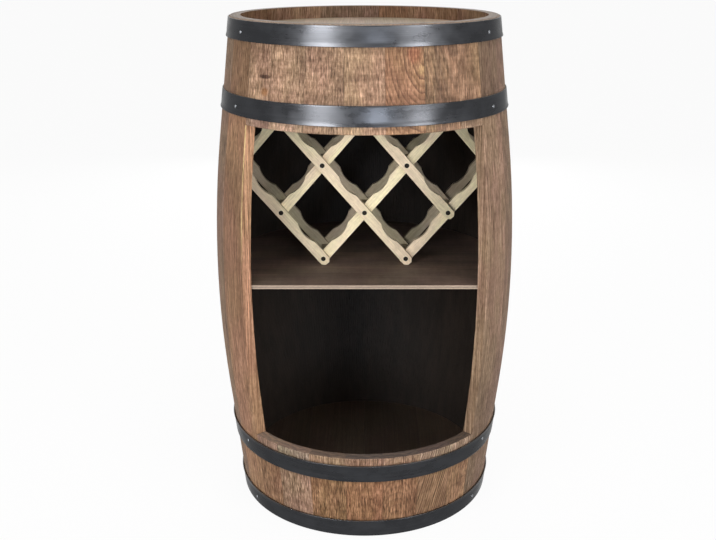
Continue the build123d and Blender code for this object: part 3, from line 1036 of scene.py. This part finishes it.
def on_band(hoop, bearing, lift=0.0, rise=0.0):
    """Place and outward axis on a hoop's outside, a rise above its middle."""
    low, high, foot, head = band_radii(hoop)
    slope = (head - foot) / (high - low)
    radius = (foot + head) / 2 + slope * rise + BAND_THICKNESS + lift
    axis = Vector((sin(bearing), -cos(bearing), -slope)).normalized()
    return Vector((radius * sin(bearing), -radius * cos(bearing), (low + high) / 2 + rise)), axis


def band_profile(hoop):
    """Closed outline of a hoop's section as (radius, z), round-edged, crowned and rolled out."""
    low, high, foot, head = band_radii(hoop)
    width = high - low
    slope = (head - foot) / width
    flat = width - 2 * BAND_EDGE
    turns = [pi / 2 * step / BAND_EDGE_STEPS for step in range(BAND_EDGE_STEPS + 1)]
    core = BAND_THICKNESS - BAND_EDGE
    outline = [(0.0, 0.0), (0.0, width)]
    outline += [(core + BAND_EDGE * sin(t), width - BAND_EDGE + BAND_EDGE * cos(t)) for t in turns]
    for step in range(1, BAND_FLAT_STEPS):
        share = step / BAND_FLAT_STEPS
        outline.append((BAND_THICKNESS + BAND_CROWN * sin(pi * share), width - BAND_EDGE - share * flat))
    outline += [(core + BAND_EDGE * cos(t), BAND_EDGE - BAND_EDGE * sin(t)) for t in turns]

    def flare(z):
        from_edge = z if slope < 0 else width - z
        return BAND_FLARE * max(1 - from_edge / BAND_FLARE_REACH, 0.0) ** 2

    return [(foot + slope * z + out + (flare(z) if out > 0 else 0.0), low + z) for out, z in outline]


def make_band(hoop, material):
    """A lapped hoop: one strip of steel whose outer end climbs over its inner end at the back."""
    profile = band_profile(hoop)
    reach = profile[0][0]
    lap = LAP_LENGTH / reach
    crank = CRANK_LENGTH / reach
    start = pi - lap / 2
    total = 2 * pi + lap
    builder = bmesh.new()
    rows = []
    for step in range(BAND_STEPS + 1):
        turn = total * step / BAND_STEPS
        climb = min(max((turn - (2 * pi - crank)) / crank, 0.0), 1.0)
        lift = BAND_THICKNESS * climb * climb * (3 - 2 * climb)
        bearing = start + turn
        ring = [((r + lift) * sin(bearing), -(r + lift) * cos(bearing), z) for r, z in profile]
        rows.append([builder.verts.new(point) for point in ring])
    count = len(profile)
    for near, far in zip(rows, rows[1:]):
        for k in range(count):
            after = (k + 1) % count
            builder.faces.new((near[k], far[k], far[after], near[after]))
    builder.faces.new(list(reversed(rows[0])))
    builder.faces.new(rows[-1])
    bmesh.ops.recalc_face_normals(builder, faces=builder.faces)
    piece = add_piece(f"{hoop}_band", builder, material)
    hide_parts(hoop)


def rack_crossings():
    """Centres of the rack's crossings in X and Z, from its rods."""
    builder = bmesh.new()
    builder.from_mesh(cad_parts["rack_rods"].data)
    bmesh.ops.remove_doubles(builder, verts=builder.verts, dist=SAME_PLACE)
    centres = []
    left = set(builder.verts)
    while left:
        stack = [left.pop()]
        island = []
        while stack:
            vertex = stack.pop()
            island.append(vertex.co.copy())
            for edge in vertex.link_edges:
                other = edge.other_vert(vertex)
                if other in left:
                    left.remove(other)
                    stack.append(other)
        centres.append(sum(island, Vector()) / len(island))
    builder.free()
    return sorted((centre.x, centre.z) for centre in centres)


# CAD nodes with their materials
for number, (node, look) in enumerate(sorted(stave_looks().items()), 1):
    dress(node, stave_material(node, number, look))
heads = head_material()
for end in ("top", "bottom"):
    for number in range(1, HEAD_BOARDS + 1):
        dress(f"{end}_head_board_{number}", heads)
dress("shelf", shelf_material())
dress("shelf_cleats", cleat_material())

slat_low, slat_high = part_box("rack_falling_slat_2")
SLAT_LEAN = atan2(slat_high.z - slat_low.z, slat_high.x - slat_low.x)
# The front lattice's leans are lit and shaded copies of one pine, and the rear lattice and rods carry
# painted shade
falling = rack_material("pine_falling", -SLAT_LEAN, FALLING_PAINTED_LIGHT)
rising = rack_material("pine_rising", SLAT_LEAN, RISING_PAINTED_LIGHT)
for number in range(1, SLATS + 1):
    dress(f"rack_falling_slat_{number}", falling)
    dress(f"rack_rising_slat_{number}", rising)
dress("rack_back_falling_slats", rack_material("pine_back_falling", -SLAT_LEAN, REAR_PAINTED_SHADE))
dress("rack_back_rising_slats", rack_material("pine_back_rising", SLAT_LEAN, REAR_PAINTED_SHADE))
dress("rack_rods", rack_material("pine_rods", SLAT_LEAN, REAR_PAINTED_SHADE))

# Hoops, with their rivets and nails
hoop_steel = steel_material("hoop_steel", HOOP_STEEL, roughness=0.25)
nail_steel = fastener_material("nail_steel", NAIL_STEEL, roughness=0.42, metallic=1.0)
pin_steel = fastener_material("pin_steel", PIN_STEEL, roughness=0.45, metallic=0.0)
screw_zinc = fastener_material("screw_zinc", SCREW_ZINC, roughness=0.38, metallic=1.0)
for hoop in HOOPS:
    make_band(hoop, hoop_steel)
    nails = bmesh.new()
    for bearing in NAIL_BEARINGS[hoop]:
        place, axis = on_band(hoop, radians(bearing), rise=NAIL_RISES[hoop])
        add_head(nails, NAIL_RADIUS, NAIL_HEIGHT, place, axis)
    add_piece(f"{hoop}_nails", nails, nail_steel)
    rivets = bmesh.new()
    spread = RIVET_PITCH / 2 / band_radii(hoop)[2]
    for side in (-1, 1):
        place, axis = on_band(hoop, pi + side * spread, BAND_THICKNESS)
        add_head(rivets, RIVET_RADIUS, RIVET_HEIGHT, place, axis)
    add_piece(f"{hoop}_rivets", rivets, hoop_steel)

# Pins on the front and rear faces of the rack, and screws through the cleats
RACK_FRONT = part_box("rack_falling_slat_1")[0].y
RACK_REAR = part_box("rack_back_rising_slats")[1].y
pins = bmesh.new()
for x, z in rack_crossings():
    for side, face in ((-1, RACK_FRONT), (1, RACK_REAR)):
        add_head(pins, PIN_RADIUS, PIN_HEIGHT, Vector((x, face, z)), (0, side, 0))
add_piece("rack_pins", pins, pin_steel)

screws = bmesh.new()
cleat_low, cleat_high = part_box("shelf_cleats")
cleat_middle = (cleat_low.z + cleat_high.z) / 2
cleat_inner = min(hypot(p.x, p.y) for p in corners("shelf_cleats"))
for node in SCREWED_STAVES:
    middle = stave_span(node)[0]
    for side in (-1, 1):
        bearing = middle + side * SCREW_PITCH / 2 / cleat_inner
        place = Vector((cleat_inner * sin(bearing), -cleat_inner * cos(bearing), cleat_middle))
        add_head(screws, SCREW_RADIUS, SCREW_HEIGHT, place, (-sin(bearing), cos(bearing), 0))
add_piece("cleat_screws", screws, screw_zinc)


def add_floor():
    """A pale floor that looks nearly white to the camera and keeps the shadow."""
    builder = bmesh.new()
    bmesh.ops.create_grid(builder, x_segments=1, y_segments=1, size=FLOOR_HALF)
    mesh = bpy.data.meshes.new("floor")
    builder.to_mesh(mesh)
    builder.free()
    floor = bpy.data.objects.new("floor", mesh)
    bpy.context.scene.collection.objects.link(floor)
    material, graph, shader = new_material("floor_paper", roughness=0.9)
    shader.inputs["Base Color"].default_value = (*FLOOR_COLOUR, 1.0)
    shader.inputs["Specular IOR Level"].default_value = 0.0
    glow = graph.node("ShaderNodeEmission")
    glow.inputs["Strength"].default_value = 1.0
    blend = graph.node("ShaderNodeMixShader")
    graph.feed(blend.inputs[0], graph.math("MULTIPLY", graph.seen(), FLOOR_GLOW))
    graph.feed(blend.inputs[1], shader.outputs[0])
    graph.feed(blend.inputs[2], glow.outputs[0])
    output = material.node_tree.nodes["Material Output"]
    graph.feed(output.inputs["Surface"], blend.outputs[0])
    mesh.materials.append(material)


def add_world():
    """Even white light from all round, dimmer as a light than where it is seen."""
    world = bpy.data.worlds.new("studio")
    bpy.context.scene.world = world
    world.use_nodes = True
    graph = Graph(world.node_tree)
    background = world.node_tree.nodes["Background"]
    background.inputs["Color"].default_value = (1.0, 1.0, 1.0, 1.0)
    strength = graph.span(graph.seen(), 0, 1, WORLD_LIGHT, 1.0, smooth=False)
    graph.feed(background.inputs["Strength"], strength)


def add_softbox(name, bearing, rise, distance, size, power, card):
    """A rectangular lamp at a bearing and an elevation, in degrees, that faces the object.

    A card is a bright shape that only gloss mirrors; the other lamps light the object.
    """
    light = bpy.data.lights.new(name, "AREA")
    light.shape = "RECTANGLE"
    light.size, light.size_y = size
    light.energy = power
    light.color = CARD_COLOURS.get(name, (1, 1, 1))
    lamp = bpy.data.objects.new(name, light)
    bearing, rise = radians(bearing), radians(rise)
    back = Vector((sin(bearing) * cos(rise), -cos(bearing) * cos(rise), sin(rise)))
    lamp.location = Vector((0, 0, AIM_HEIGHT)) + distance * back
    lamp.rotation_euler = (-back).to_track_quat("-Z", "Y").to_euler()
    lamp.visible_diffuse = not card
    lamp.visible_glossy = card
    bpy.context.scene.collection.objects.link(lamp)


add_floor()
add_world()
for lamp in LAMPS:
    add_softbox(*lamp, card=False)
for card in CARDS:
    add_softbox(*card, card=True)

camera = bpy.data.cameras.new("camera")
camera.sensor_width = SENSOR
camera.lens = FOCAL_PX * SENSOR / IMAGE_WIDTH
camera.shift_x = (IMAGE_WIDTH / 2 - AXIS_PX[0]) / IMAGE_WIDTH
camera.shift_y = (AXIS_PX[1] - IMAGE_HEIGHT / 2) / IMAGE_WIDTH
viewpoint = bpy.data.objects.new("camera", camera)
viewpoint.location = CAMERA_PLACE
viewpoint.rotation_euler = (radians(90 - CAMERA_PITCH), 0, 0)
bpy.context.scene.collection.objects.link(viewpoint)
bpy.context.scene.camera = viewpoint
bpy.context.scene.view_settings.view_transform = "Standard"
